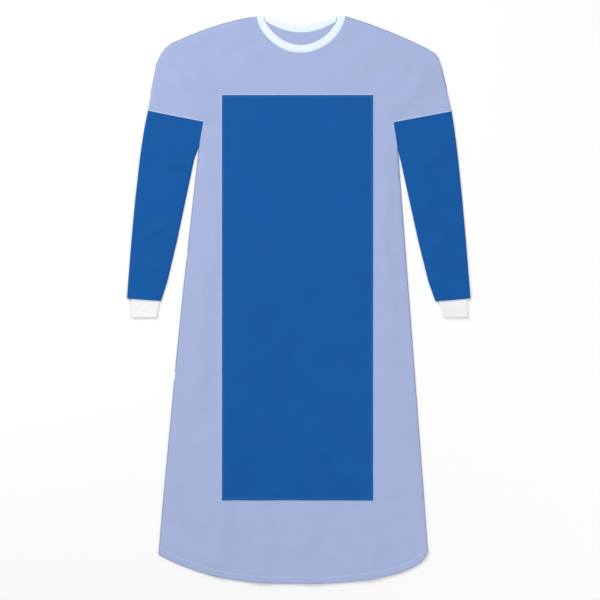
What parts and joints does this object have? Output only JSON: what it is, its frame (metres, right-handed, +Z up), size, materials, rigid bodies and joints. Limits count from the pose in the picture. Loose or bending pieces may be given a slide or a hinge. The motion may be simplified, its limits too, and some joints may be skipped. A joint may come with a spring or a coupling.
{
  "type": "surgical gown",
  "caption": "Long-sleeved surgical gown laid flat, with dark reinforced front panel and lower sleeves, bound round neck, knit cuffs and overlapping open backs",
  "frame": {"origin": "middle of the laid-out gown on the surface it lies on", "axes": "+Y toward the neck, +Z up from the surface, +X to the right of someone looking down on the front"},
  "size_m": [0.7694, 1.269, 0.0073],
  "materials": {
    "light_cloth": "matt nonwoven, light periwinkle blue, fine point-bond emboss",
    "dark_cloth": "smooth laminated nonwoven, dark blue",
    "binding": "folded white binding strip, top-stitched",
    "knit": "white rib knit"
  },
  "bodies": {
    "root": {"front": "light_cloth", "back_inner": "light_cloth", "back_outer": "light_cloth", "reinforcement": "dark_cloth", "sleeve_left": "dark_cloth", "sleeve_right": "dark_cloth", "neck_binding_front": "binding", "neck_binding_back_inner": "binding", "neck_binding_back_outer": "binding", "cuff_left": "knit", "cuff_right": "knit"}
  },
  "joints": []
}
